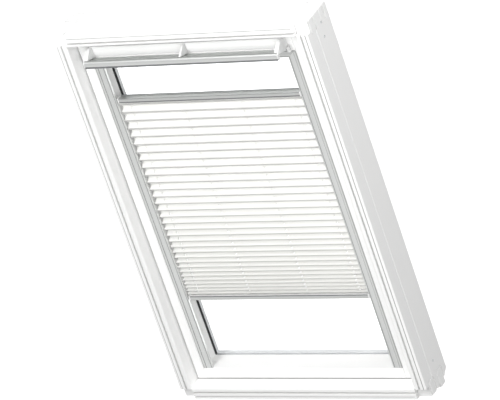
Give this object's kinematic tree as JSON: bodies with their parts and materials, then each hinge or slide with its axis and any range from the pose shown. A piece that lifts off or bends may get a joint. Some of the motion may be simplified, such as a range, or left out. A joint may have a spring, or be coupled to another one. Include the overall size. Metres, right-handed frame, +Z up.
{
  "type": "roof window with pleated blind",
  "caption": "Centre-pivot roof window frame and sash with double glazing, a ventilation flap with a handle bar, and a pleated blind that slides in the sash's side channels",
  "frame": {"origin": "middle of the bottom of the whole assembly's box", "axes": "X across the window, Y from the room towards the weather, Z up along the window's height"},
  "size_m": [0.78, 0.154, 1.187],
  "materials": {
    "lacquer": "white lacquered timber",
    "plastic": "white satin plastic",
    "aluminium": "satin anodised aluminium",
    "cladding": "grey coated aluminium sheet",
    "steel": "zinc plated steel",
    "seal": "black rubber",
    "spacer": "dull aluminium strip",
    "glass": "clear float glass",
    "pleated_cloth": "matt pleated polyester cloth",
    "cord": "braided cord",
    "foam": "open foam filter"
  },
  "bodies": {
    "frame": {"frame_head": "lacquer", "frame_sill": "lacquer", "frame_jamb_left": "lacquer", "frame_jamb_right": "lacquer", "frame_gasket": "seal", "frame_pivot_left": "steel", "frame_pivot_right": "steel", "striker_plate": "steel"},
    "sash": {"sash_top_rail": "lacquer", "sash_bottom_rail": "lacquer", "sash_stile_left": "lacquer", "sash_stile_right": "lacquer", "sash_pivot_left": "steel", "sash_pivot_right": "steel", "inner_seal": "seal", "inner_pane": "glass", "glass_spacer": "spacer", "outer_pane": "glass", "outer_seal": "seal", "setting_block_left": "seal", "setting_block_right": "seal", "sash_cladding_left": "cladding", "sash_cladding_right": "cladding", "sash_cladding_bottom": "cladding", "sash_cladding_top": "cladding", "lock_case": "steel", "air_filter": "foam", "flap_housing_left": "plastic", "flap_housing_right": "plastic", "flap_hinge_pin": "steel", "blind_top_profile": "aluminium", "side_channel_left": "aluminium", "side_channel_right": "aluminium", "pleated_fabric": "pleated_cloth", "channel_foot_left": "plastic", "channel_foot_right": "plastic", "upper_cord_left": "cord", "upper_cord_right": "cord", "lower_cord_left": "cord", "lower_cord_right": "cord"},
    "handle": {"vent_flap": "plastic", "handle_bar": "aluminium", "flap_bracket_left": "plastic", "flap_bracket_middle": "plastic", "flap_bracket_right": "plastic", "bar_end_cap_left": "plastic", "bar_end_cap_right": "plastic"},
    "top_rail": {"blind_top_rail": "aluminium", "top_rail_shoe_left": "plastic", "top_rail_shoe_right": "plastic"},
    "bottom_rail": {"blind_bottom_rail": "aluminium", "bottom_rail_shoe_left": "plastic", "bottom_rail_shoe_right": "plastic"}
  },
  "joints": [
    {"name": "sash_pivot", "type": "hinge", "parent": "frame", "child": "sash", "pos_m": [0, 0.032, 0.598], "axis": [1, 0, 0], "range_deg": [0, 170]},
    {"name": "flap_hinge", "type": "hinge", "parent": "sash", "child": "handle", "pos_m": [0, -0.023, 1.101], "axis": [1, 0, 0], "range_deg": [0, 25]},
    {"name": "top_rail_slide", "type": "slide", "parent": "sash", "child": "top_rail", "axis": [0, 0, 1], "range_m": [-0.14, 0.104], "deforming": ["pleated_fabric", "upper_cord_left", "upper_cord_right"]},
    {"name": "bottom_rail_slide", "type": "slide", "parent": "sash", "child": "bottom_rail", "axis": [0, 0, 1], "range_m": [-0.221, 0.38], "deforming": ["pleated_fabric", "lower_cord_left", "lower_cord_right"]}
  ]
}
